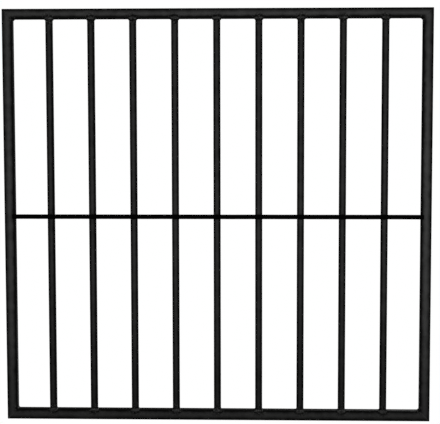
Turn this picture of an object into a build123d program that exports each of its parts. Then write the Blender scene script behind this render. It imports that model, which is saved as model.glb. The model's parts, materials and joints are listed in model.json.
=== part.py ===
from build123d import *
from math import sqrt
import os

# Fixed window security grille, welded from square steel tube, in millimetres.
# X runs to the right and Z up, seen from the street side, and Y runs from the
# street side to the window. The origin is the middle of the bottom rail's
# underside, so the grille stands on z = 0.

# Opening that the grille fills
overall_width = 1200.0
overall_height = 1161.5

# Square tube of the outer frame
frame_tube = 30.0
frame_wall = 1.5
frame_inner_radius = 2.0

# Square tube of the upright bars
bar_tube = 20.0
bar_wall = 1.5
bar_inner_radius = 1.5
bar_count = 9

# Flat cross bar laid over the street side of the uprights
cross_bar_width = 13.0
cross_bar_thickness = 3.0
cross_bar_edge_radius = 0.5
cross_bar_lap = 7.0

# Screw holes through each stile: the screw passes the outer wall, and its head
# goes in through the larger hole of the inner wall
fixing_count = 4
fixing_end_distance = 100.0
fixing_hole_diameter = 7.0
access_hole_diameter = 14.0

# Weld metal
mitre_gap = 1.6
corner_bead_leg = 4.0
bar_bead_leg = 4.5
bar_bead_toe = 0.4
bar_bead_bulge = 2.0
bar_bead_reach = 8.0
cross_bead_leg = 2.4

# Sizes that follow from the ones above
frame_outer_radius = frame_inner_radius + frame_wall
bar_outer_radius = bar_inner_radius + bar_wall
front_y = -frame_tube / 2
back_y = frame_tube / 2
bar_centre_y = front_y + bar_tube / 2
bar_length = overall_height - 2 * frame_tube
bar_pitch = (overall_width - frame_tube) / (bar_count + 1)
bar_positions = [bar_pitch * (i - (bar_count - 1) / 2) for i in range(bar_count)]
cross_bar_end_x = overall_width / 2 - frame_tube + cross_bar_lap
cross_bar_z = overall_height / 2
mitre_setback = mitre_gap / 2 * sqrt(2)


def solid_square(side, radius, length):
    """Square bar with rounded edges, standing on the origin along +Z."""
    return extrude(RectangleRounded(side, side, radius), length)


def square_tube(side, wall, inner_radius, length):
    """Square tube standing on the origin along +Z."""
    outside = solid_square(side, inner_radius + wall, length)
    inside = solid_square(side - 2 * wall, inner_radius, length)
    return outside - inside


def along_x(shape, length):
    """Lays a shape that stands along +Z down along X, centred, its underside on z = 0."""
    return Pos(-length / 2, 0, frame_tube / 2) * Rot(0, 90, 0) * shape


def frame_length_of_tube(length):
    """Unmitred frame tube along X, centred, its underside on z = 0."""
    return along_x(square_tube(frame_tube, frame_wall, frame_inner_radius, length), length)


def prism_through_frame(*points):
    """Prism with corners at the given (x, z) points, as deep as the frame."""
    return extrude(Plane.XZ * Polygon(*points, align=None), frame_tube / 2, both=True)


def mitred_member(length):
    """Frame tube along X with both ends mitred, its long outer face on z = 0."""
    long_half = length / 2 - mitre_setback
    short_half = long_half - frame_tube
    keep = prism_through_frame(
        (-long_half, 0),
        (long_half, 0),
        (short_half, frame_tube),
        (-short_half, frame_tube),
    )
    return frame_length_of_tube(length) & keep


def fixing_positions():
    """Distances of the screw holes from the middle of a stile, evenly spread."""
    first = fixing_end_distance - overall_height / 2
    step = -2 * first / (fixing_count - 1)
    return [first + step * i for i in range(fixing_count)]


def drilled_stile():
    """Mitred stile, lying along X, with its screw and access holes."""
    stile = mitred_member(overall_height)
    for x in fixing_positions():
        stile -= Pos(x, 0, 0) * Cylinder(fixing_hole_diameter / 2, frame_tube)
        stile -= Pos(x, 0, frame_tube) * Cylinder(access_hole_diameter / 2, frame_tube)
    return stile


def corner_weld():
    """Weld that fills one mitre gap, with a fillet bead in the inner corner.

    The frame's outer corner is at x = z = 0 and its tubes run along +X and +Z.
    """
    tube_length = 4 * frame_tube
    rail = Pos(tube_length / 2, 0, 0) * frame_length_of_tube(tube_length)
    stile = Pos(frame_tube / 2, 0, 0) * square_tube(
        frame_tube, frame_wall, frame_inner_radius, tube_length
    )
    outer, inner = (0, 0), (frame_tube, frame_tube)
    rail_strip = prism_through_frame(
        outer, (mitre_setback, 0), (frame_tube + mitre_setback, frame_tube), inner
    )
    stile_strip = prism_through_frame(
        outer, inner, (frame_tube, frame_tube + mitre_setback), (0, mitre_setback)
    )
    bead_face = Plane.XZ * Polygon(
        inner,
        (frame_tube + corner_bead_leg, frame_tube),
        (frame_tube, frame_tube + corner_bead_leg),
        align=None,
    )
    bead = extrude(bead_face, frame_tube / 2 - frame_outer_radius, both=True)
    return (rail & rail_strip) + (stile & stile_strip) + bead


def bar_end_weld():
    """Bead round the end of one bar that stands on a rail's inner face at z = 0.

    On the street side it runs down over the rail's rounded edge and onto its front face.
    """
    foot_side = bar_tube + 2 * bar_bead_leg
    foot_radius = bar_outer_radius + bar_bead_leg
    toe_side = bar_tube + 2 * bar_bead_toe
    toe_radius = bar_outer_radius + bar_bead_toe
    foot = RectangleRounded(foot_side, foot_side, foot_radius)
    toe = Pos(0, 0, bar_bead_leg) * RectangleRounded(toe_side, toe_side, toe_radius)
    collar = loft([foot, toe], ruled=True)
    collar += Pos(0, 0, -bar_bead_reach) * extrude(foot, bar_bead_reach)
    collar = Pos(0, bar_centre_y, 0) * collar

    window_side = Polyline(
        (front_y, bar_bead_leg),
        (back_y, bar_bead_leg),
        (back_y, -bar_bead_reach),
        (front_y, -bar_bead_reach),
    )
    street_side = ThreePointArc(
        (front_y, -bar_bead_reach),
        (front_y - bar_bead_bulge, (bar_bead_leg - bar_bead_reach) / 2),
        (front_y, bar_bead_leg),
    )
    limits = extrude(Plane.YZ * make_face([window_side, street_side]), foot_side, both=True)

    rail = Pos(0, 0, -frame_tube) * along_x(
        solid_square(frame_tube, frame_outer_radius, 2 * foot_side), 2 * foot_side
    )
    bar = Pos(0, bar_centre_y, 0) * solid_square(bar_tube, bar_outer_radius, bar_tube)
    return (collar & limits) - rail - bar


def cross_bar():
    """Flat cross bar, lying on the street side of the bars and of both stiles."""
    section = Rectangle(cross_bar_thickness, cross_bar_width)
    section = fillet(section.vertices(), cross_bar_edge_radius)
    bar = extrude(Plane.YZ * section, cross_bar_end_x, both=True)
    return Pos(0, front_y - cross_bar_thickness / 2, cross_bar_z) * bar


def cross_bar_bead(length):
    """Fillet bead along X, in the corner above the cross bar and against the tube's face."""
    section = Polygon(
        (0, -cross_bar_edge_radius),
        (0, cross_bead_leg),
        (-cross_bead_leg, 0),
        (-cross_bead_leg, -cross_bar_edge_radius),
        align=None,
    )
    return Pos(0, front_y, 0) * extrude(Plane.YZ * section, length / 2, both=True)


def cross_bar_welds():
    """Beads above and below the cross bar at each bar, and one across each end."""
    flat_bar = cross_bar()
    over_bar = Pos(0, 0, cross_bar_width / 2) * cross_bar_bead(bar_tube - 2 * bar_outer_radius)
    over_end = Pos(0, 0, cross_bar_end_x) * cross_bar_bead(cross_bar_width)
    beads = []
    for x in bar_positions:
        for turn in (0, 180):
            beads.append(Pos(x, 0, cross_bar_z) * Rot(0, turn, 0) * over_bar)
    for turn in (90, -90):
        beads.append(Pos(0, 0, cross_bar_z) * Rot(0, turn, 0) * over_end)
    return Compound([solid for bead in beads for solid in (bead - flat_bar).solids()])


def frame_parts():
    """Two rails, two stiles and the four corner welds."""
    half_width = overall_width / 2
    half_height = overall_height / 2
    rail = mitred_member(overall_width)
    stile = drilled_stile()
    weld = corner_weld()
    return {
        "bottom_rail": rail,
        "top_rail": Pos(0, 0, overall_height) * Rot(0, 180, 0) * rail,
        "left_stile": Pos(-half_width, 0, half_height) * Rot(0, 90, 0) * stile,
        "right_stile": Pos(half_width, 0, half_height) * Rot(0, -90, 0) * stile,
        "corner_weld_bottom_left": Pos(-half_width, 0, 0) * weld,
        "corner_weld_top_left": Pos(-half_width, 0, overall_height) * Rot(0, 90, 0) * weld,
        "corner_weld_top_right": Pos(half_width, 0, overall_height) * Rot(0, 180, 0) * weld,
        "corner_weld_bottom_right": Pos(half_width, 0, 0) * Rot(0, -90, 0) * weld,
    }


def bar_parts():
    """The upright bars, each in its own node, and the welds at their ends."""
    bar = Pos(0, bar_centre_y, frame_tube) * square_tube(
        bar_tube, bar_wall, bar_inner_radius, bar_length
    )
    parts = {f"bar_{i + 1}": Pos(x, 0, 0) * bar for i, x in enumerate(bar_positions)}
    low_weld = Pos(0, 0, frame_tube) * bar_end_weld()
    high_weld = Pos(0, 0, overall_height) * mirror(low_weld, Plane.XY)
    parts["bar_welds_bottom"] = Compound(
        [(Pos(x, 0, 0) * low_weld).solid() for x in bar_positions]
    )
    parts["bar_welds_top"] = Compound(
        [(Pos(x, 0, 0) * high_weld).solid() for x in bar_positions]
    )
    return parts


def all_parts():
    """Every separate piece of the grille, by name."""
    return {
        **frame_parts(),
        **bar_parts(),
        "cross_bar": cross_bar(),
        "cross_bar_welds": cross_bar_welds(),
    }


os.makedirs("parts", exist_ok=True)
for name, shape in all_parts().items():
    export_step(shape, f"parts/{name}.step")
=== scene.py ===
import json
from math import pi, radians

import bmesh
import bpy
import numpy as np
from bpy.props import FloatProperty, FloatVectorProperty, PointerProperty
from mathutils import Matrix, Vector


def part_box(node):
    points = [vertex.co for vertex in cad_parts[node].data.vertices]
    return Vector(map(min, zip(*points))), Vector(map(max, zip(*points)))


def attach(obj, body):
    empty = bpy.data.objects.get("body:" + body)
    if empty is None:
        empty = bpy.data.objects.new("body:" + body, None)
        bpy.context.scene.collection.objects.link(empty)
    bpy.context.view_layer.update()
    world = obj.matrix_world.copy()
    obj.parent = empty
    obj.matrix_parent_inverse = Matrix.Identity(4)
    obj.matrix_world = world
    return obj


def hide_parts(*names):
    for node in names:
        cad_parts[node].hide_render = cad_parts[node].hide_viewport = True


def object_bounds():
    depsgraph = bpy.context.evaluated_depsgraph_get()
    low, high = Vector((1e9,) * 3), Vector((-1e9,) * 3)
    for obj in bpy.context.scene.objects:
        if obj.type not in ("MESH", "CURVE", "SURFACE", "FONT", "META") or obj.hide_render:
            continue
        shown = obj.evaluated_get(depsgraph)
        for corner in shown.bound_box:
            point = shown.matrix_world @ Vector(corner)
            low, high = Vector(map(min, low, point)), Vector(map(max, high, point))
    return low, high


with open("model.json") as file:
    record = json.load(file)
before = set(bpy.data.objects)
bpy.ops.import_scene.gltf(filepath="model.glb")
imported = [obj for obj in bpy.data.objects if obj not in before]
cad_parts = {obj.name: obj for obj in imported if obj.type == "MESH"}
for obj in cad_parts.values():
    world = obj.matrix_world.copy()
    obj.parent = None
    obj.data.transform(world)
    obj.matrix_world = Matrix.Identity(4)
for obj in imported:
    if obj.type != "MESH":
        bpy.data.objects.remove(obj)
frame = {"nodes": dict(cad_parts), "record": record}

# A fixed window grille: a mitred frame of square tube, nine upright square bars, a thin flat bar
# across the street side, and the welds that hold them. X runs to the right and Z up, seen from
# the street side, and Y runs from the street side to the window. Lengths are in metres.

bl_info = {
    "name": "Window Security Grille",
    "version": (1, 0, 0),
    "blender": (4, 5, 0),
    "location": "3D View > Sidebar > Grille",
    "description": "Builds the visible pieces of a welded square-tube window grille on its frame",
    "category": "Add Mesh",
}

MM = 0.001
BODY = "root"
BAR_PREFIX = "bar_"
WHITE = (1.0, 1.0, 1.0)
SHARP_ANGLE = radians(38)
JOIN_DISTANCE = 1e-6

# Seeds of the random draws
FRAME_SEED, CORNER_SEED, FLAT_SEED, BAR_WELD_SEED, FLAT_WELD_SEED, BAR_SEED = 0, 4, 7, 11, 17, 20

# Rows along a tube and along the flat bar, and points round the floor
TUBE_ROWS, FLAT_ROWS, FLOOR_POINTS = 44, 90, 128

# Lengths of the two slow waves in a tube's faces
LONG_WAVE, SHORT_WAVE = 0.31, 0.17

# Edge values, from 0 in the middle of a face or bead to 1 on a rounded edge: at a side, in a bead's
# valley, and on the rings through a hole. They set how much painted shade darkens a point, and on
# the rounded edges how thin the coat is where it wears
SIDE_EDGE, VALLEY_EDGE = 0.5, 0.06
HOLE_EDGES = (0.0, 0.0, 0.8, 0.8, 0.0, 0.0, 0.0, 0.0)

# A bead's lift as a share of its leg
BEAD_LIFT = 0.16

# Width and height of the patch of painted shade round a bar's weld knob, on the rail at the bar's
# end, and how far past the joint its middle lies
KNOB_SHADE_WIDTH, KNOB_SHADE_HEIGHT, KNOB_SHADE_DROP = 24 * MM, 18 * MM, 3.5 * MM

# Noises of the coat: features in a metre, detail and roughness
DRIFT, SMEARS, BLOTCHES = (8.0, 4.0, 0.6), (60.0, 3.0, 0.55), (42.0, 2.0, 0.5)
NICKS, SETTLED = (380.0, 4.0, 0.65), (140.0, 5.0, 0.6)
SOOT, SPATTER_GLINTS = (210.0, 2.0, 0.6), (250.0, 2.0, 0.6)

# Sizes and places of the two lights, and the camera's sensor and farthest view
KEY_SIZE, KEY_PLACE = (3.2, 2.2), (0.1, -4.4, 0.45)
BACK_SIZE, BACK_PLACE = (2.4, 1.8), (2.0, 3.0, 2.6)
SENSOR_WIDTH, CLIP_END = 36.0, 100.0


# ---------------------------------------------------------------------------
# Sizes read from the frame
# ---------------------------------------------------------------------------

def node_box(node):
    """Lowest and highest corner of a frame node, as two arrays."""
    low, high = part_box(node)
    return np.array(low), np.array(high)


CAD_LOW, CAD_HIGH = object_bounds()
RAIL_LOW, RAIL_HIGH = node_box("bottom_rail")
FLAT_LOW, FLAT_HIGH = node_box("cross_bar")
BAR_NAMES = sorted((name for name in frame["nodes"] if name.removeprefix(BAR_PREFIX).isdigit()),
                   key=lambda name: int(name.removeprefix(BAR_PREFIX)))
BAR_LOW, BAR_HIGH = node_box(BAR_NAMES[0])

HALF_WIDTH = float(CAD_HIGH[0])
HEIGHT = float(CAD_HIGH[2])
FRAME_SIDE = float(RAIL_HIGH[1] - RAIL_LOW[1])
FRONT_Y = float(RAIL_LOW[1])
MITRE_SETBACK = float(HALF_WIDTH - RAIL_HIGH[0])
BAR_SIDE = float(BAR_HIGH[0] - BAR_LOW[0])
BAR_LENGTH = float(BAR_HIGH[2] - BAR_LOW[2])
BAR_FOOT = float(BAR_LOW[2])
BAR_Y = float(BAR_LOW[1] + BAR_HIGH[1]) / 2
BAR_X = [float(sum(corner[0] for corner in node_box(name))) / 2 for name in BAR_NAMES]
BAR_PITCH = BAR_X[1] - BAR_X[0]
FIXINGS = [mount for mount in frame["record"]["mounts"] if mount["kind"] == "bolt_pattern"]
SCREW_RADIUS = FIXINGS[0]["dims"]["hole_r_mm"] * MM


def fixing_heights(side):
    """Heights of one stile's screw holes, from the record's patterns of two holes."""
    heights = []
    for mount in FIXINGS:
        if mount["name"].startswith(side):
            middle, spacing = mount["pos_m"][2], mount["dims"]["spacing_y_mm"] * MM
            heights += [middle - spacing / 2, middle + spacing / 2]
    return sorted(heights)


# ---------------------------------------------------------------------------
# What a user would change
# ---------------------------------------------------------------------------

def length_property(name, description, default, lowest=0.0):
    return FloatProperty(name=name, description=description, default=default, min=lowest,
                         unit="LENGTH", precision=5)


def colour_property(name, description, default):
    return FloatVectorProperty(name=name, description=description, default=default, size=3,
                               min=0.0, max=1.0, subtype="COLOR")


def factor_property(name, description, default):
    return FloatProperty(name=name, description=description, default=default, min=0.0, max=1.0,
                         subtype="FACTOR")


def angle_property(name, description, degrees):
    return FloatProperty(name=name, description=description, default=radians(degrees),
                         subtype="ANGLE")


def power_property(name, description, watts):
    return FloatProperty(name=name, description=description, default=watts, min=0.0, unit="POWER")


class GrilleTubes(bpy.types.PropertyGroup):
    """Shape of the square tubes and of the flat bar."""
    frame_wall: length_property("Frame Wall", "Wall of the frame's tube", 1.5 * MM)
    frame_radius: length_property(
        "Frame Edge Radius", "Outside radius of the frame tube's edges", 3.5 * MM)
    bar_wall: length_property("Bar Wall", "Wall of the bars' tube", 1.5 * MM)
    bar_radius: length_property(
        "Bar Edge Radius", "Outside radius of the bar tube's edges", 3.0 * MM)
    crown: length_property(
        "Face Crown", "How far the middle of a face stands above its sides", 0.45 * MM)
    dip: length_property("Face Dip", "How far a face's middle sinks here and there", 0.10 * MM)
    access_radius: length_property(
        "Access Hole Radius", "Radius of the hole that a screw's head goes through", 7.0 * MM)
    hole_lip: length_property(
        "Hole Lip", "Width of the softened edge round a drilled hole", 0.35 * MM)
    flat_radius: length_property(
        "Cross Bar Edge Radius", "Radius of the flat bar's edges", 0.5 * MM)
    flat_bow: length_property(
        "Cross Bar Bow", "How far the flat bar strays from a straight line", 0.12 * MM)


class GrilleWelds(bpy.types.PropertyGroup):
    """Shape of the weld beads."""
    bar_leg: length_property(
        "Bar Bead Leg", "How far a bar's bead reaches up the bar and along the rail", 3.5 * MM)
    bar_reach: length_property(
        "Bar Bead Reach", "How far a bar's bead runs over the rail's street side", 9.0 * MM)
    bar_bulge: length_property(
        "Bar Bead Bulge", "How far a bar's bead stands proud on the street side", 1.8 * MM)
    corner_leg: length_property("Corner Bead Leg", "Leg of the bead inside each corner", 3.7 * MM)
    corner_crown: length_property(
        "Corner Seam Crown", "How far a corner's seam stands proud on the street side", 0.35 * MM)
    flat_leg: length_property(
        "Cross Bar Bead Leg", "Leg of the beads along the cross bar", 2.2 * MM)
    ripple_pitch: length_property(
        "Ripple Pitch", "Distance between two ripples of a bead", 1.6 * MM)
    ripple_height: length_property("Ripple Height", "Height of a bead's ripples", 0.18 * MM)


class GrilleCoats(bpy.types.PropertyGroup):
    """Colour and texture of the coats, with the painted shade and painted highlights among them."""
    frame_colour: colour_property(
        "Frame Coat", "Colour of the coat on the frame", (0.0370, 0.0370, 0.0362))
    # Painted shade: the bars wear the frame's coat, painted darker
    bar_shaded_colour: colour_property(
        "Bar Coat", "Colour of the coat on the upright bars", (0.0190, 0.0190, 0.0185))
    # Painted highlight: the welds wear the frame's coat, painted lighter
    weld_lit_colour: colour_property(
        "Weld Coat", "Colour of the coat on the welds", (0.0620, 0.0620, 0.0600))
    # Painted shade: the cross bar wears the same coat, painted nearly black
    flat_shaded_colour: colour_property(
        "Cross Bar Coat", "Colour of the coat on the cross bar", (0.0012, 0.0012, 0.0012))
    dust_colour: colour_property(
        "Dust", "Colour of the thin film of dust", (0.060, 0.058, 0.052))
    # Painted highlight: the lighter colour of specks that stand in for glints on spatter
    spatter_glint_colour: colour_property(
        "Spatter", "Colour of the fine spatter round the welds", (0.110, 0.110, 0.106))
    tube_roughness: factor_property(
        "Tube Roughness", "Mean roughness of the coat on tubes and welds", 0.36)
    flat_roughness: factor_property(
        "Cross Bar Roughness", "Mean roughness of the coat on the cross bar", 0.62)
    # Painted shade: how dark the coat is painted towards a face's sides
    side_shade_depth: factor_property(
        "Side Depth", "How far the coat goes to dull black at a face's sides", 1.0)
    soot_reach: length_property("Soot Reach", "How far from a weld the coat is mottled", 26 * MM)
    peel_size: length_property(
        "Orange Peel Size", "Distance between two dimples of the coat", 2.2 * MM)
    peel_height: length_property(
        "Orange Peel Height", "Height of the coat's dimples", 0.10 * MM)


class GrilleStage(bpy.types.PropertyGroup):
    """Camera, lights and floor."""
    lens: FloatProperty(
        name="Lens", description="Focal length of the camera", default=113.9, unit="CAMERA")
    distance: length_property(
        "Camera Distance", "Distance from the camera to the grille", 3.903)
    elevation: angle_property("Camera Elevation", "How far the camera looks down", 5.054)
    azimuth: angle_property(
        "Camera Azimuth", "How far the camera is turned about the grille", -2.075)
    roll: angle_property("Camera Roll", "Tilt of the camera about its line of sight", -0.108)
    aim_right: length_property(
        "Aim Right", "How far right of the middle the camera aims", 0.0085, -1.0)
    aim_up: length_property("Aim Up", "How far above the middle the camera aims", 0.0135, -1.0)
    key_power: power_property("Key Light", "Power of the large soft light in front", 46.0)
    back_power: power_property("Back Light", "Power of the soft light behind", 60.0)
    ambient: FloatProperty(
        name="Ambient", description="Strength of the light from all round", default=0.16, min=0.0)
    floor_radius: length_property("Floor Radius", "Radius of the round floor", 1.6)
    floor_colour: colour_property("Floor Colour", "Colour of the pale floor", (0.90, 0.90, 0.90))


# ---------------------------------------------------------------------------
# Shader maths
# ---------------------------------------------------------------------------

class Quantity:
    """A socket that takes part in arithmetic: an expression on it adds the Math nodes."""

    def __init__(self, bench, socket):
        self.bench = bench
        self.socket = socket

    def maths(self, operation, *values):
        """Result of a Math node that is given those values or quantities."""
        node = self.bench.add("ShaderNodeMath", {"operation": operation}, dict(enumerate(values)))
        return Quantity(self.bench, node.outputs[0])

    def of(self, operation):
        """This quantity put through a maths operation that takes one value."""
        return self.maths(operation, self)

    def __add__(self, other):
        return self.maths("ADD", self, other)

    def __mul__(self, other):
        return self.maths("MULTIPLY", self, other)

    def __sub__(self, other):
        return self.maths("SUBTRACT", self, other)

    def __rsub__(self, other):
        return self.maths("SUBTRACT", other, self)

    __radd__ = __add__
    __rmul__ = __mul__


class Bench:
    """Adds nodes to one node tree."""

    def __init__(self, tree):
        self.tree = tree
        tree.nodes.clear()

    def add(self, kind, settings=None, inputs=None):
        """Adds a node: first its settings, a ramp's stops among them, then its sockets."""
        node = self.tree.nodes.new(kind)
        for name, value in (settings or {}).items():
            if name == "stops":
                self.set_stops(node.color_ramp.elements, value)
            else:
                setattr(node, name, value)
        for name, value in (inputs or {}).items():
            socket = node.inputs[name]
            if isinstance(value, Quantity):
                value = value.socket
            if isinstance(value, bpy.types.NodeSocket):
                self.tree.links.new(value, socket)
            else:
                socket.default_value = value
        return node

    def set_stops(self, elements, stops):
        """Gives a ramp its stops, each a position and a level."""
        while len(elements) < len(stops):
            elements.new(0.5)
        for element, (position, level) in zip(elements, stops):
            element.position = position
            element.color = (level, level, level, 1.0)

    def parts(self, vector):
        """The three parts of a vector."""
        split = self.add("ShaderNodeSeparateXYZ", None, {"Vector": vector})
        return [Quantity(self, socket) for socket in split.outputs]

    def noise(self, place, per_metre, detail, roughness):
        """Smooth noise round one half, with so many features a metre."""
        node = self.add("ShaderNodeTexNoise", {"noise_dimensions": "3D"}, {
            "Vector": place, "Scale": per_metre, "Detail": detail, "Roughness": roughness})
        return Quantity(self, node.outputs["Fac"])

    def ramp(self, factor, *stops):
        """Level that goes in straight lines from stop to stop, each a position and a level."""
        node = self.add("ShaderNodeValToRGB", {"stops": stops}, {"Fac": factor})
        return Quantity(self, node.outputs["Color"])

    def blend(self, factor, first, second):
        """Colour that goes from the first to the second as the factor goes from 0 to 1."""
        node = self.add("ShaderNodeMix", {"data_type": "RGBA"}, {0: factor, 6: first, 7: second})
        return node.outputs[2]

    def mix(self, factor, first, second):
        """Shader that goes from the first to the second as the factor goes from 0 to 1."""
        node = self.add("ShaderNodeMixShader", None, {
            0: factor, 1: first.outputs[0], 2: second.outputs[0]})
        return node.outputs[0]


def rgba(colour, gain=1.0):
    """A colour times a gain, with full cover."""
    return tuple(channel * gain for channel in colour) + (1.0,)


def joined_distance(across, up):
    """Distance made up of two at right angles: the root of the sum of their squares."""
    return (across * across + up * up).of("SQRT")


def weld_marks(bench, place, right, height, soot_depth, knob_shade_depth):
    """Soot, painted spatter glints and painted shade round the weld knobs: three quantities, 0
    where there are none.

    How far a point is from a bar's end is the root of the sum of two squares: the distance across
    to the nearest bar's middle, which is what is left of right over the bars' pitch, and the
    distance past the joint's height, which is below zero along the bars. A corner is measured in
    the same way from the stile's inner side. Soot, and the specks painted lighter as spatter
    glints, are noise, kept to where that is short. The painted shade round a bar's weld knob is an
    ellipse on the rail at the bar's end. Past the outermost bars the pattern of the bars is cut
    off.
    """
    per_reach = 1 / bpy.context.scene.grille_coats.soot_reach
    sideways = right.of("ABSOLUTE")
    among_bars = bench.ramp(sideways * (1 / HALF_WIDTH), (0.89, 1.0), (0.90, 0.0))
    pitches = right * (1 / BAR_PITCH) + (0.5 - BAR_X[0] / BAR_PITCH)
    from_bar = (pitches.of("FRACT") - 0.5) * BAR_PITCH
    from_stile = sideways - (HALF_WIDTH - FRAME_SIDE)
    past_joint = (height - HEIGHT / 2).of("ABSOLUTE") - (HEIGHT / 2 - BAR_FOOT)

    from_end = joined_distance(from_bar, past_joint) * per_reach
    from_corner = joined_distance(from_stile, past_joint) * per_reach
    smoked = (bench.ramp(from_end, (0.40, soot_depth), (1.0, 0.0)) * among_bars
              + bench.ramp(from_corner, (0.25, soot_depth), (0.65, 0.0)))
    soot = smoked * bench.ramp(bench.noise(place, *SOOT), (0.45, 0.0), (0.53, 1.0))
    # Spatter glints: specks near the welds painted lighter, a painted highlight
    spatter_glints = smoked * bench.ramp(bench.noise(place, *SPATTER_GLINTS), (0.55, 0.0), (0.62, 1.0))

    # Painted shade round each bar's weld knob: a darker ellipse on the rail at the bar's end
    beside, under = from_bar * (1 / KNOB_SHADE_WIDTH), (past_joint - KNOB_SHADE_DROP) * (1 / KNOB_SHADE_HEIGHT)
    knob_shade = bench.ramp(joined_distance(beside, under), (0.45, knob_shade_depth), (0.70, 0.0)) * among_bars
    return soot, spatter_glints, knob_shade


def coat_material(name, colour, roughness, sheen, bare_gain, soot_depth, knob_shade_depth):
    """Black powder coat: a satin shader in the middle of each face, and a dark dull one elsewhere,
    which is painted shade.

    The dull shader's share is the sum of the painted shade at the sides, on the underside and round
    each bar's weld knob, or the soot where that is more, and most of it goes away where spatter
    glints are painted. The side shade follows the mesh's own edge attribute, shifted by blotches of
    noise. The underside shade follows how far a face looks down, and counts for more the higher it
    is. Dimples as of orange peel and a finer grain are noise in the bump. Gloss and tone drift by
    slower noise. The spatter glints are painted highlights: lighter specks near the welds. On the
    rounded edges the coat is thin, and lighter and smoother where a fine noise says. Dust lies on
    faces that look up and in faint patches elsewhere: there the colour is the dust's, and the gloss
    is less.
    """
    coats = bpy.context.scene.grille_coats
    material = bpy.data.materials.new(name)
    material.use_nodes = True
    bench = Bench(material.node_tree)
    place = bench.add("ShaderNodeTexCoord").outputs["Object"]
    right, _, height = bench.parts(place)
    _, _, upward = bench.parts(bench.add("ShaderNodeNewGeometry").outputs["Normal"])
    mark = bench.add("ShaderNodeAttribute", {"attribute_name": "edge"})
    edge = Quantity(bench, mark.outputs["Fac"])

    drift, smears, blotches = (bench.noise(place, *kind) for kind in (DRIFT, SMEARS, BLOTCHES))
    nicks = bench.ramp(bench.noise(place, *NICKS), (0.50, 0.0), (0.66, 1.0))
    bare = bench.ramp(edge, (0.80, 0.0), (1.0, 1.0)) * nicks
    lying = bench.ramp(upward, (0.35, 0.0), (0.95, 1.0))
    patches = bench.ramp(drift, (0.45, 0.0), (0.72, 1.0))
    settled = bench.ramp(bench.noise(place, *SETTLED), (0.36, 0.1), (0.70, 1.0))
    dust = (0.5 * lying + 0.10 * patches) * settled

    soot, spatter_glints, knob_shade = weld_marks(bench, place, right, height, soot_depth, knob_shade_depth)
    # Painted shade: darker towards the sides of faces, in bead valleys and toes, and through holes
    sides = bench.ramp(edge + 0.5 * (blotches - 0.5), (0.0, 0.0), (0.50, coats.side_shade_depth))
    # Painted shade on faces that look down: strong on the top rail, none on the bottom one
    overhead = bench.ramp(height * (1 / HEIGHT), (0.1, 0.0), (0.9, 1.0))
    below = bench.ramp(0.0 - upward, (0.0, 0.0), (0.075, 0.60)) * overhead
    # Dull shader's share: painted shade, or soot where that is more, and less where spatter glints
    # are painted
    painted_shade = sides + below + knob_shade
    shade_and_soot = painted_shade.maths("MAXIMUM", painted_shade, soot) * (1.0 - 0.85 * spatter_glints)

    shade = bench.blend(smears, rgba(colour, 0.80), rgba(colour, 1.20))
    shade = bench.blend(0.4 * bare, shade, rgba(colour, bare_gain))
    shade = bench.blend(0.5 * dust, shade, rgba(coats.dust_colour))
    # Spatter glints painted in a lighter colour
    shade = bench.blend(0.7 * spatter_glints, shade, rgba(coats.spatter_glint_colour))
    gloss = (roughness - 0.09) + 0.10 * drift + 0.08 * smears + 0.20 * dust - 0.05 * bare
    dimples = bench.noise(place, 1 / coats.peel_size, 1.5, 0.45)
    grain = bench.noise(place, 5 / coats.peel_size, 2.0, 0.6)
    bump = bench.add("ShaderNodeBump", None, {
        "Strength": 1.0,
        "Distance": coats.peel_height,
        "Height": dimples + 0.15 * grain,
    })
    satin = bench.add("ShaderNodeBsdfPrincipled", None, {
        "Base Color": shade,
        "Roughness": gloss,
        "Specular IOR Level": sheen,
        "Normal": bump.outputs["Normal"],
    })
    # The dull shader: the coat at 0.12 of its colour, the dark copy that carries the painted shade
    dull = bench.add("ShaderNodeBsdfPrincipled", None, {
        "Base Color": bench.blend(dust, rgba(colour, 0.12), rgba(coats.dust_colour, 0.3)),
        "Roughness": gloss + 0.2,
        "Specular IOR Level": 0.05,
        "Normal": bump.outputs["Normal"],
    })
    bench.add("ShaderNodeOutputMaterial", None, {"Surface": bench.mix(shade_and_soot, satin, dull)})
    return material


def coat(name):
    """One of the four coats, made when it is first asked for."""
    coats = bpy.context.scene.grille_coats
    recipes = {
        # Bar and cross bar coats are darker copies of the frame's coat, as painted shade, and the
        # weld coat a lighter one, as a painted highlight
        "frame_coat": dict(colour=coats.frame_colour, roughness=coats.tube_roughness, sheen=0.30,
                           bare_gain=2.0, soot_depth=0.85, knob_shade_depth=0.55),
        "bar_coat": dict(colour=coats.bar_shaded_colour, roughness=coats.tube_roughness, sheen=0.18,
                         bare_gain=2.0, soot_depth=0.95, knob_shade_depth=0.55),
        "weld_coat": dict(colour=coats.weld_lit_colour, roughness=coats.tube_roughness, sheen=0.50,
                          bare_gain=1.6, soot_depth=0.75, knob_shade_depth=0.0),
        "cross_bar_coat": dict(colour=coats.flat_shaded_colour, roughness=coats.flat_roughness,
                               sheen=0.02, bare_gain=4.0, soot_depth=0.5, knob_shade_depth=0.0),
    }
    painted = f"grille_{name}"
    return bpy.data.materials.get(painted) or coat_material(painted, **recipes[name])


# ---------------------------------------------------------------------------
# Meshes. A shell is (points, list of arrays of faces, edge value of each point)
# ---------------------------------------------------------------------------

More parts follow.
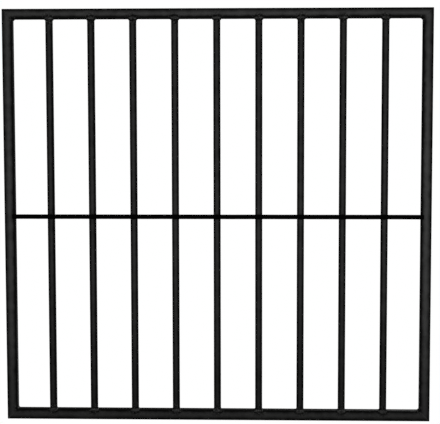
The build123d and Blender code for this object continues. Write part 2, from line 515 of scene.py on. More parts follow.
def add_piece(name, shells, slot, *nodes):
    """Makes one object of closed shells, in the coat of its slot, standing for those nodes."""
    points, faces, edges, first = [], [], [], 0
    for shell_points, shell_faces, shell_edge in shells:
        points.append(shell_points)
        edges.append(shell_edge)
        for block in shell_faces:
            faces += (block + first).tolist()
        first += len(shell_points)
    mesh = bpy.data.meshes.new(name)
    mesh.from_pydata(np.concatenate(points).tolist(), [], faces)
    mark = mesh.attributes.new("edge", "FLOAT", "POINT")
    mark.data.foreach_set("value", np.concatenate(edges).astype(np.float32))
    close_mesh(mesh)
    mesh.materials.append(coat(slot))
    piece = bpy.data.objects.new(name, mesh)
    bpy.context.scene.collection.objects.link(piece)
    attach(piece, BODY)
    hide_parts(*nodes)


def close_mesh(mesh):
    """Joins points that meet, turns every face outward and smooths all but the sharp edges."""
    work = bmesh.new()
    work.from_mesh(mesh)
    bmesh.ops.remove_doubles(work, verts=work.verts, dist=JOIN_DISTANCE)
    bmesh.ops.recalc_face_normals(work, faces=work.faces)
    loose = sum(len(join.link_faces) != 2 for join in work.edges)
    work.to_mesh(mesh)
    work.free()
    if loose:
        raise RuntimeError(f"{mesh.name} isn't closed: {loose} edges aren't shared by two faces")
    mesh.shade_smooth()
    mesh.set_sharp_from_angle(angle=SHARP_ANGLE)


def strips(ids, close=False):
    """Faces between the rows of a grid of point numbers whose rows are closed loops."""
    after_row = np.roll(ids, -1, axis=0) if close else ids[1:]
    row = ids if close else ids[:-1]
    corners = [row, np.roll(row, -1, axis=1), np.roll(after_row, -1, axis=1), after_row]
    return np.stack(corners, axis=2).reshape(-1, 4)


def number_grid(rows, columns, first=0):
    """Numbers of the points of a grid, row by row."""
    return first + np.arange(rows * columns).reshape(rows, columns)


def ring_shell(grid, edge):
    """Shell of a grid of points that closes on itself both ways."""
    rows, columns = grid.shape[:2]
    return grid.reshape(-1, 3), [strips(number_grid(rows, columns), close=True)], edge.ravel()


def capped_shell(grid, edge):
    """Shell of a grid whose rows are closed loops, the first and last drawn in to their middle."""
    rows, columns = grid.shape[:2]
    ids = number_grid(rows, columns)
    middles = np.stack([grid[0].mean(axis=0), grid[-1].mean(axis=0)])
    fans = []
    for row, middle in ((ids[0], rows * columns), (ids[-1], rows * columns + 1)):
        fans.append(np.stack([row, np.roll(row, -1), np.full(columns, middle)], axis=1))
    points = np.concatenate([grid.reshape(-1, 3), middles])
    return points, [strips(ids)] + fans, np.concatenate([edge.ravel(), [0.0, 0.0]])


def circle(angle):
    """Points of a circle of radius 1 at those angles."""
    return np.stack([np.cos(angle), np.sin(angle)], axis=1)


class Outline:
    """Outline of a square tube's skin, in (across, depth), with its outward direction all round.

    At t from -1 to 1 of its half width a face lies side/2 - crown * t * t from the middle. A
    quarter circle joins it to the next face, which is the first one turned by 90 degrees, and so
    on round. Each point also knows how much a dip of the face moves it, 1 - t * t, and its edge
    value: 0.5 times |t| to the power 1.5 on a face, and up to 1 in the middle of a rounded edge.
    """

    def __init__(self, side, radius, crown, face_steps=12, edge_steps=8):
        self.side, self.crown, self.face_steps = side, crown, face_steps
        self.half_flat = side / 2 - crown - radius
        self.per_quarter = face_steps + edge_steps
        self.marks = np.concatenate([[-1.0], np.linspace(-0.97, 0.97, face_steps - 1), [1.0]])
        turn = np.linspace(0.0, pi / 2, edge_steps + 1)[1:-1]
        face = np.stack([self.height(self.marks), self.half_flat * self.marks], axis=1)
        rounded = self.half_flat + radius * circle(turn)
        outward = np.concatenate([np.tile([1.0, 0.0], (len(face), 1)), circle(turn)])
        sink = np.concatenate([1 - self.marks ** 2, np.zeros(len(turn))])
        # Edge values that paint shade towards a face's sides and on its rounded edges
        edge = np.concatenate([SIDE_EDGE * np.abs(self.marks) ** 1.5,
                               SIDE_EDGE + (1 - SIDE_EDGE) * np.sin(2 * turn)])
        self.points = self.all_round(np.concatenate([face, rounded]))
        self.outward = self.all_round(outward)
        self.sinking = self.all_round(np.stack([-sink, 0 * sink], axis=1))
        self.edge = np.tile(edge, 4)

    def height(self, t, sink=0.0):
        """How far a face lies from the tube's middle, with a dip that sinks its own middle."""
        return self.side / 2 - self.crown * t ** 2 - sink * (1 - t ** 2)

    @staticmethod
    def all_round(quarter):
        """A quarter and its copies turned by 90, 180 and 270 degrees."""
        first, second = quarter[:, 0], quarter[:, 1]
        turned = [(first, second), (-second, first), (-first, -second), (second, -first)]
        return np.concatenate([np.stack(pair, axis=1) for pair in turned])


def tube_outlines(side, wall, radius, crown, **steps):
    """Outer and inner outline of a square tube."""
    inner = Outline(side - 2 * wall, radius - wall, crown, **steps)
    return Outline(side, radius, crown, **steps), inner


def tube_rows(length, clear, outer, holes):
    """Places of a tube's rows: evenly apart, and at a face's own marks round each hole."""
    rows = np.linspace(clear, length - clear, TUBE_ROWS)
    for place in sorted({hole[0] for hole in holes}):
        away = np.abs(rows - place) > 1.3 * outer.half_flat
        rows = np.concatenate([rows[away], place + outer.half_flat * outer.marks])
    return np.sort(rows)


def square_walk(row, column, steps):
    """Rows and columns of the points round a square of cells, one side after the other."""
    walk = np.arange(steps)
    rows = row + np.concatenate([0 * walk, walk, steps + 0 * walk, steps - walk])
    columns = column + np.concatenate([steps - walk, 0 * walk, walk, steps + 0 * walk])
    return rows, columns


def hole_rings(outer, inner, border, place, radius, facing, sink):
    """Rings from a square of the outer skin, over a lip, through the wall and to the inner skin.

    A point lies part of the way in a straight line from the square to a circle, at a depth below
    the skin that it follows. Facing is -1 on the tube's long side and 1 on the other.
    """
    lip = bpy.context.scene.grille_tubes.hole_lip
    square = np.stack([border[:, 0] - place, border[:, 2]], axis=1)
    round_point = circle(np.arctan2(square[:, 1], square[:, 0]))

    def ring(outline, reach, part, depth=0.0):
        flat = square * (1 - part) + round_point * reach * part
        height = facing * (outline.height(flat[:, 1] / outline.half_flat, sink) - depth)
        return np.stack([place + flat[:, 0], height, flat[:, 1]], axis=1)

    wide = radius + lip
    return [ring(outer, wide, 0.4), ring(outer, wide, 0.75), ring(outer, wide, 1.0),
            ring(outer, radius, 1.0, lip), ring(inner, radius, 1.0, -lip),
            ring(inner, wide, 1.0), ring(inner, wide, 0.75), ring(inner, wide, 0.4)]


def tube_shell(length, outer, inner, setback, dip, seed, holes=()):
    """Hollow square tube in (along, across, depth), as its two outlines carried along its length.

    With a setback it is mitred: an end row lies that far in plus its distance from the tube's long
    side, which is the one at minus half a side across. Without one it is cut square. The faces dip
    by dip times a slow wave, the mean of two sines. Each hole is (place, on the long side or not,
    radius): it takes a square of cells out of both skins, and rings lead from one to the other.
    """
    count, steps = len(outer.points), outer.face_steps
    rows = tube_rows(length, outer.side + (setback or 0.0) + 4 * MM, outer, holes)
    phase = np.random.default_rng(seed).uniform(0, 2 * pi, 2)

    def sway(along):
        long_wave = np.sin(2 * pi * along / LONG_WAVE + phase[0])
        short_wave = np.sin(2 * pi * along / SHORT_WAVE + phase[1])
        return dip * (2 + long_wave + short_wave) / 4

    def skin(outline):
        across = outline.points[:, 0]
        cut = 0 * across if setback is None else setback + across + outer.side / 2
        along = np.concatenate([cut[None], np.tile(rows[:, None], (1, count)), length - cut[None]])
        sinks = np.concatenate([[0.0], sway(rows), [0.0]])[:, None, None]
        return np.concatenate([along[..., None], outline.points + outline.sinking * sinks], axis=2)

    skins = skin(outer), skin(inner)
    row_count = len(rows) + 2
    ids = number_grid(row_count, count), number_grid(row_count, count, row_count * count)
    points = [skins[0].reshape(-1, 3), skins[1].reshape(-1, 3)]
    edge = [np.tile(outer.edge, row_count), np.zeros(row_count * count)]
    keep = np.ones((row_count - 1, count), bool)
    faces = []
    first_id = 2 * row_count * count

    for place, on_long_side, radius in holes:
        row = int(np.argmin(np.abs(rows - (place - outer.half_flat)))) + 1
        column = 2 * outer.per_quarter if on_long_side else 0
        keep[row:row + steps, column:column + steps] = False
        i, j = square_walk(row, column, steps)
        facing = -1.0 if on_long_side else 1.0
        rings = hole_rings(outer, inner, skins[0][i, j], place, radius, facing, sway(place))
        ring_ids = number_grid(len(rings), len(i), first_id)
        faces.append(strips(np.concatenate([ids[0][i, j][None], ring_ids, ids[1][i, j][None]])))
        points += rings
        # Edge values of the rings through the hole: painted shade inside it
        edge.append(np.repeat(HOLE_EDGES, len(i)))
        first_id += ring_ids.size

    for grid in ids:
        faces.append(strips(grid)[keep.ravel()])
    for row in (0, -1):
        faces.append(strips(np.stack([ids[0][row], ids[1][row]])))
    return np.concatenate(points), faces, np.concatenate(edge)


def placed(shell, origin, along, across):
    """Takes a shell from (along, across, depth) to world axes, with depth along Y."""
    points, faces, edge = shell
    axes = np.array([along, across, (0, 1, 0)], float)
    return points @ axes + np.array(origin, float), faces, edge


def waves(turn, rng, *counts):
    """Mean of sines with whole numbers of waves over turn 0 to 1, each from a random phase."""
    phases = rng.uniform(0, 2 * pi, len(counts))
    sines = (np.sin(2 * pi * count * turn + phase) for count, phase in zip(counts, phases))
    return sum(sines) / len(counts)


def wander(part, turn, rng, *counts):
    """Factor that such waves carry between 1 and 1 less twice that part."""
    return 1 - part + part * waves(turn, rng, *counts)


def ripples(turn, across, length, rng):
    """Height of a bead's ripples at turn 0 to 1 of its length and across -1 to 1 of its width.

    They are the absolute value of a sine, so rounded scallops with sharp valleys, bowed by the
    square of the distance across. Slow waves change their spacing and their height, and they
    fade to nothing at the toes.
    """
    welds = bpy.context.scene.grille_welds
    count = round(length / welds.ripple_pitch)
    step = count * turn + 0.45 * waves(turn, rng, 3, 7) - 0.6 * across ** 2
    height = welds.ripple_height * (0.8 + 0.4 * waves(turn, rng, 2, 5))
    return height * np.abs(np.sin(pi * step)) * (1 - across ** 6)


def bead_grid(toe_a, toe_b, back, lift, turn, length, rng, steps=13):
    """Bead: at each place a quadratic curve from toe to toe, drawn out by lift, and a back point.

    The curve's middle stands half of lift above the line between the toes, and ripples stand on
    it. The edge value, which sets the painted shade, is a little more in the valleys than on the
    crests. It rises from the middle to that of a face's side at the toes, evenly to the first and
    by the power 5 to the second, so each bead gets a painted dark rim at its toes.
    """
    t = np.linspace(0, 1, steps)[None, :, None]
    pull = ((toe_a + toe_b) / 2 + lift)[:, None]
    curve = toe_a[:, None] * (1 - t) ** 2 + 2 * pull * t * (1 - t) + toe_b[:, None] * t ** 2
    out = lift / np.linalg.norm(lift, axis=1, keepdims=True)
    across = 2 * t[..., 0] - 1
    rise = ripples(turn[:, None], across, length, rng)
    skin = curve + out[:, None] * rise[..., None]
    crest = (rise / bpy.context.scene.grille_welds.ripple_height).clip(0, 1)
    towards_toe = np.where(across < 0, np.abs(across), across ** 5)
    shade = VALLEY_EDGE * (1 - crest) + (SIDE_EDGE - VALLEY_EDGE) * towards_toe
    edge = np.concatenate([shade, np.full((len(turn), 1), SIDE_EDGE)], axis=1)
    return np.concatenate([skin, back[:, None]], axis=1), edge


def fillet_bead(corner, along, length, first, second, leg, rng):
    """Bead in a straight inner corner, centred on a point of it, with a leg along two directions.

    Its legs and its lift shrink towards both ends by the square root of 1 - s ** 8, with s from -1
    to 1 along it, and wander by slow waves. Its toes are a little way into the metal, and its back
    runs through a point inside the corner.
    """
    corner, along, first, second = np.array([corner, along, first, second], float)
    toe_sunk, back_sunk, end_size = 0.12 * MM, 0.3 * MM, 0.12
    s = np.sin(np.linspace(-pi / 2, pi / 2, 96))
    turn = (s + 1) / 2
    taper = end_size + (1 - end_size) * np.sqrt(1 - s ** 8)
    size = (leg * taper * wander(0.06, turn, rng, 1, 3))[:, None]
    middle = corner + along * (s * length / 2)[:, None]
    toe_a = middle + first * size - second * toe_sunk
    toe_b = middle + second * size - first * toe_sunk
    lift = (first + second) * BEAD_LIFT * size
    back = middle - (first + second) * back_sunk
    return capped_shell(*bead_grid(toe_a, toe_b, back, lift, turn, length, rng))


def rail_surface(q, radius):
    """Point (depth, height) and outward direction on a rail's inner face and round its edge.

    Zero is where the inner face, at height 0, meets the rounded edge; q is the distance from there
    towards the street side, negative on the inner face, then along the quarter circle, then down.
    """
    angle = np.clip(q / radius, 0, pi / 2)
    depth = FRONT_Y + radius * (1 - np.sin(angle)) - np.minimum(q, 0)
    height = -radius * (1 - np.cos(angle)) - np.maximum(q - radius * pi / 2, 0)
    return depth, height, -np.sin(angle), np.cos(angle)


def bar_end_bead(x, top, rng, reach_part, bulge_part):
    """Bead all round the end of a bar, with a rounded knob on the street side.

    One toe runs round the bar a leg above the rail, the other over the rail's surface. On the
    bar's sides and back that one is a leg out from the bar. Towards the street side it slides over
    the rail's rounded edge and down its face, by the smooth step of how far the outline faces the
    street. The skin's lift turns from the corner's diagonal to straight out in the same way. There
    the toes and the lift follow a dome, the root of 1 less the square of 0.9 times the distance
    from the bar's middle over half its side.
    """
    tubes, welds = bpy.context.scene.grille_tubes, bpy.context.scene.grille_welds
    toe_sunk, into_bar, back_sunk, back_height = 0.25 * MM, 0.10 * MM, 0.7 * MM, 0.4 * MM
    outline = Outline(BAR_SIDE, tubes.bar_radius, tubes.crown, face_steps=64, edge_steps=30)
    bar, outward = outline.points, outline.outward
    run = bar + outward * welds.bar_leg / 2
    gaps = np.linalg.norm(np.roll(run, -1, axis=0) - run, axis=1)
    length = float(gaps.sum())
    turn = (np.cumsum(gaps) - gaps) / length

    leg_up = welds.bar_leg * wander(0.10, turn, rng, 2, 5, 9)
    leg_out = welds.bar_leg * wander(0.10, turn, rng, 3, 4, 8)
    leg_out = leg_out * (1 - 0.35 * np.clip(outward[:, 1], 0, 1) ** 2)
    street = np.clip((-outward[:, 1] - 0.15) / 0.85, 0, 1)
    street = street ** 2 * (3 - 2 * street)
    dome = np.sqrt(1 - (0.90 * bar[:, 0] / (BAR_SIDE / 2)) ** 2)
    leg_up = leg_up * (1 + street * (0.85 * dome - 0.55))

    depth = BAR_Y + bar[:, 1]
    radius = tubes.frame_radius
    from_edge = FRONT_Y + radius - (depth + leg_out * outward[:, 1])
    over_edge = radius * np.arcsin(np.clip(from_edge / radius, 0, 1))
    q_round = np.where(from_edge > 0, over_edge, from_edge)
    reach = welds.bar_reach * reach_part * wander(0.07, turn, rng, 4, 9, 13)
    q_street = radius * (pi / 2 - 1) + reach * (0.15 + 0.85 * dome)
    rail_y, rail_z, rail_ny, rail_nz = rail_surface(q_round + (q_street - q_round) * street, radius)

    toe_rail = np.stack([x + bar[:, 0] + leg_out * outward[:, 0] * (1 - 0.35 * street),
                         rail_y - toe_sunk * rail_ny, rail_z - toe_sunk * rail_nz], axis=1)
    toe_bar = np.stack([x + bar[:, 0] - into_bar * outward[:, 0],
                        depth - into_bar * outward[:, 1], leg_up], axis=1)
    back = np.stack([x + bar[:, 0] - back_sunk * outward[:, 0],
                     depth - back_sunk * outward[:, 1], np.full(len(bar), back_height)], axis=1)
    slant = np.column_stack([outward, np.ones(len(bar))]) * BEAD_LIFT * welds.bar_leg
    proud = np.zeros_like(slant)
    proud[:, 1] = -2 * welds.bar_bulge * bulge_part * dome * wander(0.08, turn, rng, 3, 7)
    lift = slant + (proud - slant) * street[:, None]
    grid, edge = bead_grid(toe_bar, toe_rail, back, lift, turn, length, rng, steps=17)
    grid[..., 2] += BAR_FOOT
    if top:
        grid[..., 2] = HEIGHT - grid[..., 2]
    return ring_shell(grid, edge)


def spatter(x, top, rng, count=7):
    """Small half-round grains of weld metal on a rail's street side, beside a bar's bead.

    A grain is a flattened half ball: at latitude v its ring is cos v wide and sin v proud.
    """
    rooted, round_points = 0.5 * MM, 16
    shells = []
    latitude = np.linspace(0, 0.47 * pi, 7)[:, None]
    spin = np.linspace(0, 2 * pi, round_points + 1)[None, :-1]
    for side in rng.choice([-1, 1], count):
        size = rng.uniform(0.8, 1.9) * MM
        middle = x + side * (BAR_SIDE / 2 + rng.uniform(1.0, 10.0) * MM)
        drop = rng.uniform(4.0, 10.0) * MM
        proud = rooted - (rooted + 0.6 * size) * np.sin(latitude) + 0 * spin
        grid = np.stack([middle + size * np.cos(latitude) * np.cos(spin),
                         FRONT_Y + proud,
                         BAR_FOOT - drop + size * np.cos(latitude) * np.sin(spin)], axis=2)
        if top:
            grid[..., 2] = HEIGHT - grid[..., 2]
        # Edge values rising towards each grain's rim: painted shade round the grain
        edge = np.repeat(0.3 * np.cos(latitude) ** 4, round_points, axis=1)
        shells.append(capped_shell(grid, edge))
    return shells


def corner_seam(outer, inner, rng):
    """Weld metal that fills a mitre, in (from the frame's side, depth, from its end).

    At distance d from the outer faces, it goes round from one tube's end to the other's on a
    quarter circle of the setback's radius, so the frame's outer corner is rounded. It overlaps both
    tubes by a little, sunk just under their faces. On the street side its middle stands proud with
    ripples, and elsewhere it is ground flush.
    """
    welds = bpy.context.scene.grille_welds
    overlap, flush, steps, round_part = 1.0 * MM, 0.05 * MM, 13, 0.6
    u = np.linspace(-1, 1, steps)
    angle = (np.clip(u / round_part, -1, 1) + 1) * pi / 4
    beyond = overlap * (np.abs(u) - round_part).clip(0) / (1 - round_part)
    outward = outer.outward

    def fill(outline):
        d = outline.points[:, 0][:, None] + outer.side / 2
        depth = np.repeat(outline.points[:, 1][:, None], steps, axis=1)
        from_side = d + MITRE_SETBACK * (1 - np.cos(angle)) + np.where(u > 0, beyond, 0)
        from_end = d + MITRE_SETBACK * (1 - np.sin(angle)) + np.where(u < 0, beyond, 0)
        return np.stack([from_side, depth, from_end], axis=2)

    count = len(outer.points)
    turn = np.arange(count)[:, None] / count
    facing = np.clip(-outward[:, 1], 0, 1)[:, None] ** 4
    dome = (1 - u ** 2) * welds.corner_crown * wander(0.15, turn, rng, 5, 11)
    rise = facing * (dome + 0.8 * ripples(turn, u[None], 4 * outer.side, rng)) - flush
    sideways = outward[:, 0] / 2 ** 0.5
    push = np.column_stack([sideways, outward[:, 1], sideways])[:, None]
    skin = fill(outer) + rise[..., None] * push
    grid = np.concatenate([skin, fill(inner)[:, ::-1]], axis=1)
    # Edge values: painted shade towards the seam's sides and on the tubes' rounded edges
    edge = np.maximum(0.35 * np.abs(u) ** 1.5, 0.8 * outer.edge[:, None])
    return ring_shell(grid, np.concatenate([edge, edge], axis=1))


def flat_bar_shell(radius, bow, rng):
    """Flat bar: a rectangle with a quarter circle in each corner, carried along X.

    Its ends are drawn in by a rounded step, and waves bow it a little up and down.
    """
    middle, half = (FLAT_LOW + FLAT_HIGH) / 2, (FLAT_HIGH - FLAT_LOW) / 2
    turn = np.linspace(0, pi / 2, 6)
    quarters = []
    for quarter, signs in enumerate(((1, 1), (-1, 1), (-1, -1), (1, -1))):
        quarters.append(radius * circle(turn + quarter * pi / 2) + signs * (half[1:] - radius))
    outline = np.concatenate(quarters)

    ends = np.array([0.0, 0.15, 0.5]) * MM
    first_row, room_to_bow = 12 * MM, 0.985
    between = np.linspace(FLAT_LOW[0] + first_row, FLAT_HIGH[0] - first_row, FLAT_ROWS)
    along = np.concatenate([FLAT_LOW[0] + ends, between, FLAT_HIGH[0] - ends[::-1]])
    shrink = np.concatenate([ends[::-1], np.zeros(FLAT_ROWS), ends])
    share = (along - along[0]) / (along[-1] - along[0])
    up = middle[2] + bow * waves(share, rng, 4, 9, 15)
    grid = np.empty((len(along), len(outline), 3))
    grid[..., 0] = along[:, None]
    grid[..., 1] = middle[1] + outline[:, 0] * (1 - shrink / half[1])[:, None]
    grid[..., 2] = up[:, None] + outline[:, 1] * (1 - shrink / half[2])[:, None] * room_to_bow
    # Edge values of 0.5 and more: painted shade on the whole cross bar, and thinner coat on its
    # rounded edges where it wears
    edge = np.tile(SIDE_EDGE + (1 - SIDE_EDGE) * np.sin(2 * turn), (len(along), 4))
    return capped_shell(grid, edge)


# ---------------------------------------------------------------------------
# Operators
# ---------------------------------------------------------------------------

class GRILLE_OT_frame_tubes(bpy.types.Operator):
    """Add the two rails and the two stiles, mitred, with the screw holes in the stiles"""
    bl_idname = "grille.frame_tubes"
    bl_label = "Frame Tubes"

    def execute(self, context):
        tubes = context.scene.grille_tubes
        outer, inner = tube_outlines(FRAME_SIDE, tubes.frame_wall, tubes.frame_radius, tubes.crown)
        middle = FRAME_SIDE / 2
        rail, stile = (1, 0, 0), (0, 0, 1)
        members = {
            "bottom_rail": ((-HALF_WIDTH, 0, middle), rail, (0, 0, 1), 2 * HALF_WIDTH),
            "top_rail": ((-HALF_WIDTH, 0, HEIGHT - middle), rail, (0, 0, -1), 2 * HALF_WIDTH),
            "left_stile": ((middle - HALF_WIDTH, 0, 0), stile, (1, 0, 0), HEIGHT),
            "right_stile": ((HALF_WIDTH - middle, 0, 0), stile, (-1, 0, 0), HEIGHT),
        }
        for seed, (name, (origin, along, across, length)) in enumerate(members.items(), FRAME_SEED):
            heights = fixing_heights(name.split("_")[0]) if name.endswith("stile") else []
            drilled = (True, SCREW_RADIUS), (False, tubes.access_radius)
            holes = [(height, *hole) for height in heights for hole in drilled]
            shell = tube_shell(length, outer, inner, MITRE_SETBACK, tubes.dip, seed, holes)
            add_piece(f"{name}_tube", [placed(shell, origin, along, across)], "frame_coat", name)
        return {"FINISHED"}


class GRILLE_OT_corner_welds(bpy.types.Operator):
    """Add the weld seam and the inner bead of each corner"""
    bl_idname = "grille.corner_welds"
    bl_label = "Corner Welds"

    def execute(self, context):
        tubes, welds = context.scene.grille_tubes, context.scene.grille_welds
        outer, inner = tube_outlines(FRAME_SIDE, tubes.frame_wall, tubes.frame_radius, tubes.crown,
                                     face_steps=60, edge_steps=10)
        rng = np.random.default_rng(CORNER_SEED)
        for across, side in ((-1, "left"), (1, "right")):
            for upward, end in ((1, "bottom"), (-1, "top")):
                bead = fillet_bead((FRAME_SIDE, 0, FRAME_SIDE), (0, 1, 0), 2 * outer.half_flat,
                                   (1, 0, 0), (0, 0, 1), welds.corner_leg, rng)
                shells = []
                for points, faces, edge in (corner_seam(outer, inner, rng), bead):
                    x = across * (HALF_WIDTH - points[:, 0])
                    z = points[:, 2] if upward > 0 else HEIGHT - points[:, 2]
                    shells.append((np.stack([x, points[:, 1], z], axis=1), faces, edge))
                add_piece(f"weld_{end}_{side}_corner", shells, "weld_coat",
                          f"corner_weld_{end}_{side}")
        return {"FINISHED"}


class GRILLE_OT_bars(bpy.types.Operator):
    """Add the upright bars"""
    bl_idname = "grille.bars"
    bl_label = "Upright Bars"

    def execute(self, context):
        tubes = context.scene.grille_tubes
        outer, inner = tube_outlines(BAR_SIDE, tubes.bar_wall, tubes.bar_radius, tubes.crown)
        for seed, (name, x) in enumerate(zip(BAR_NAMES, BAR_X), BAR_SEED):
            shell = tube_shell(BAR_LENGTH, outer, inner, None, tubes.dip, seed)
            shell = placed(shell, (x, BAR_Y, BAR_FOOT), (0, 0, 1), (1, 0, 0))
            add_piece(f"{name}_tube", [shell], "bar_coat", name)
        return {"FINISHED"}


class GRILLE_OT_bar_welds(bpy.types.Operator):
    """Add the beads round both ends of every bar, with spatter beside all but the outermost"""
    bl_idname = "grille.bar_welds"
    bl_label = "Bar Welds"

    def execute(self, context):
        rng = np.random.default_rng(BAR_WELD_SEED)
        for node, top in (("bar_welds_bottom", False), ("bar_welds_top", True)):
            shells = []
            for x in BAR_X:
                reach_part, bulge_part = rng.uniform(0.88, 1.04), rng.uniform(0.80, 1.04)
                shells.append(bar_end_bead(x, top, rng, reach_part, bulge_part))
                if abs(x) < BAR_X[-1] - BAR_PITCH / 2:
                    shells += spatter(x, top, rng)
            add_piece(f"{node}_beads", shells, "weld_coat", node)
        return {"FINISHED"}


class GRILLE_OT_cross_bar(bpy.types.Operator):
    """Add the flat cross bar"""
    bl_idname = "grille.cross_bar"
    bl_label = "Cross Bar"

    def execute(self, context):
        tubes = context.scene.grille_tubes
        shell = flat_bar_shell(tubes.flat_radius, tubes.flat_bow, np.random.default_rng(FLAT_SEED))
        add_piece("cross_bar_flat", [shell], "cross_bar_coat", "cross_bar")
        return {"FINISHED"}


class GRILLE_OT_cross_bar_welds(bpy.types.Operator):
    """Add the short beads above and below the cross bar and across its ends"""
    bl_idname = "grille.cross_bar_welds"
    bl_label = "Cross Bar Welds"

    def execute(self, context):
        leg = context.scene.grille_welds.flat_leg
        rng = np.random.default_rng(FLAT_WELD_SEED)
        street, along_bar, up = (0, -1, 0), (1, 0, 0), (0, 0, 1)
        length = BAR_SIDE - 2 * context.scene.grille_tubes.bar_radius
        shells = []
        for x in BAR_X:
            for z, upward in ((FLAT_HIGH[2], 1), (FLAT_LOW[2], -1)):
                shells.append(fillet_bead((x, FLAT_HIGH[1], z), along_bar,
                                          length * rng.uniform(0.82, 1.0),
                                          street, (0, 0, upward), leg, rng))
        length = 0.94 * (FLAT_HIGH[2] - FLAT_LOW[2])
        for x, outward in ((FLAT_LOW[0], -1), (FLAT_HIGH[0], 1)):
            middle = (x, FLAT_HIGH[1], (FLAT_LOW[2] + FLAT_HIGH[2]) / 2)
            shells.append(fillet_bead(middle, up, length, street, (outward, 0, 0), leg, rng))
        add_piece("cross_bar_beads", shells, "weld_coat", "cross_bar_welds")
        return {"FINISHED"}


class GRILLE_OT_stage(bpy.types.Operator):
    """Add the camera, the lights and the pale floor"""
    bl_idname = "grille.stage"
    bl_label = "Stage"

    def execute(self, context):
        stage = context.scene.grille_stage
        context.scene.view_settings.view_transform = "Standard"
        add_camera(stage)
        add_light("key_light", stage.key_power, KEY_SIZE, Vector(KEY_PLACE))
        add_light("back_light", stage.back_power, BACK_SIZE, Vector(BACK_PLACE))
        add_floor(stage)
        set_world(stage)
        return {"FINISHED"}


def add_camera(stage):
    """Camera whose axes are the world's turned by roll, elevation and azimuth in turn."""
    turn = (Matrix.Rotation(stage.roll, 3, "Y") @ Matrix.Rotation(stage.elevation, 3, "X")
            @ Matrix.Rotation(stage.azimuth, 3, "Z"))
    back = turn.transposed()
    right, forward, up = back.col
    offset = Vector((-stage.aim_right, stage.distance, -stage.aim_up))
    place = Vector((0, FRONT_Y, HEIGHT / 2)) - back @ offset
    axes = Matrix((right, up, -forward)).transposed()
    data = bpy.data.cameras.new("camera")
    data.lens = stage.lens
    data.sensor_width = SENSOR_WIDTH
    data.clip_end = CLIP_END
    camera = bpy.data.objects.new("camera", data)
    camera.matrix_world = Matrix.Translation(place) @ axes.to_4x4()
    bpy.context.scene.collection.objects.link(camera)
    bpy.context.scene.camera = camera


def add_light(name, power, size, place):
    """Rectangular soft light at a place, aimed at the grille's middle."""
    data = bpy.data.lights.new(name, "AREA")
    data.shape = "RECTANGLE"
    data.size, data.size_y = size
    data.energy = power
    light = bpy.data.objects.new(name, data)
    aim = (Vector((0, 0, HEIGHT / 2)) - place).to_track_quat("-Z", "Y")
    light.matrix_world = Matrix.Translation(place) @ aim.to_matrix().to_4x4()
    light.visible_camera = False
    bpy.context.scene.collection.objects.link(light)


def add_floor(stage):
    """Round pale floor under the grille; what the camera sees of it is lit evenly."""
    rim = stage.floor_radius * circle(np.linspace(0, 2 * pi, FLOOR_POINTS + 1)[:-1])
    points = np.concatenate([[[0.0, 0.0, 0.0]], np.column_stack([rim, np.zeros(FLOOR_POINTS)])])
    ids = np.arange(1, FLOOR_POINTS + 1)
    faces = np.stack([0 * ids, ids, np.roll(ids, -1)], axis=1)
    mesh = bpy.data.meshes.new("floor")
    mesh.from_pydata(points.tolist(), [], faces.tolist())
    material = bpy.data.materials.new("pale_floor")
    material.use_nodes = True
    bench = Bench(material.node_tree)
    plain = bench.add("ShaderNodeBsdfDiffuse", None, {"Color": rgba(stage.floor_colour)})
    glow = bench.add("ShaderNodeEmission", None, {"Color": rgba(WHITE), "Strength": 1.0})
    seen = bench.add("ShaderNodeLightPath").outputs["Is Camera Ray"]
    bench.add("ShaderNodeOutputMaterial", None, {"Surface": bench.mix(seen, plain, glow)})
    mesh.materials.append(material)
    floor = bpy.data.objects.new("floor", mesh)
    bpy.context.scene.collection.objects.link(floor)


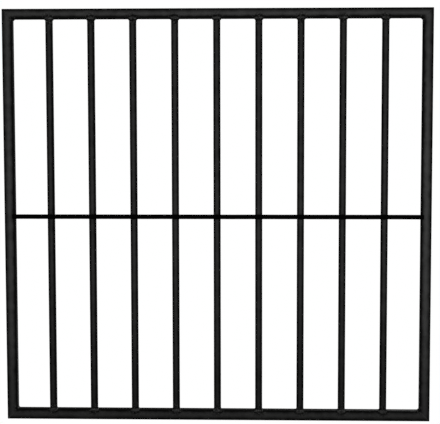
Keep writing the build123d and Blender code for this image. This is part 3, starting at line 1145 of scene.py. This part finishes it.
def set_world(stage):
    """World that the camera sees as white, and that lights the grille with a dim grey.

    The grey is brightest towards the street, and about a tenth of that towards the window.
    """
    least = 0.09
    world = bpy.data.worlds.new("studio")
    world.use_nodes = True
    bench = Bench(world.node_tree)
    _, towards_window, _ = bench.parts(bench.add("ShaderNodeTexCoord").outputs["Generated"])
    street = bench.ramp(0.5 - 0.5 * towards_window, (0.35, 0.0), (0.85, 1.0))
    dim = bench.add("ShaderNodeBackground", None, {
        "Color": rgba(WHITE),
        "Strength": stage.ambient * (least + (1 - least) * street),
    })
    white = bench.add("ShaderNodeBackground", None, {"Color": rgba(WHITE), "Strength": 1.0})
    seen = bench.add("ShaderNodeLightPath").outputs["Is Camera Ray"]
    bench.add("ShaderNodeOutputWorld", None, {"Surface": bench.mix(seen, dim, white)})
    bpy.context.scene.world = world


# ---------------------------------------------------------------------------
# Panel and registration
# ---------------------------------------------------------------------------

SETTINGS = {"grille_tubes": GrilleTubes, "grille_welds": GrilleWelds, "grille_coats": GrilleCoats,
            "grille_stage": GrilleStage}
OPERATORS = (GRILLE_OT_frame_tubes, GRILLE_OT_corner_welds, GRILLE_OT_bars, GRILLE_OT_bar_welds,
             GRILLE_OT_cross_bar, GRILLE_OT_cross_bar_welds, GRILLE_OT_stage)


class GRILLE_PT_sidebar(bpy.types.Panel):
    """Settings of the grille and a button for each group of its pieces."""
    bl_idname = "GRILLE_PT_sidebar"
    bl_label = "Window Security Grille"
    bl_space_type = "VIEW_3D"
    bl_region_type = "UI"
    bl_category = "Grille"

    def draw(self, context):
        for name, group in SETTINGS.items():
            box = self.layout.box()
            for setting in group.__annotations__:
                box.prop(getattr(context.scene, name), setting)
        for operator in OPERATORS:
            self.layout.operator(operator.bl_idname)


CLASSES = (*SETTINGS.values(), *OPERATORS, GRILLE_PT_sidebar)


def register():
    for item in CLASSES:
        bpy.utils.register_class(item)
    for name, group in SETTINGS.items():
        setattr(bpy.types.Scene, name, PointerProperty(type=group))


def unregister():
    for name in SETTINGS:
        delattr(bpy.types.Scene, name)
    for item in reversed(CLASSES):
        bpy.utils.unregister_class(item)


def main():
    register()
    bpy.ops.grille.frame_tubes()
    bpy.ops.grille.corner_welds()
    bpy.ops.grille.bars()
    bpy.ops.grille.bar_welds()
    bpy.ops.grille.cross_bar()
    bpy.ops.grille.cross_bar_welds()
    bpy.ops.grille.stage()


if __name__ == "__main__":
    main()
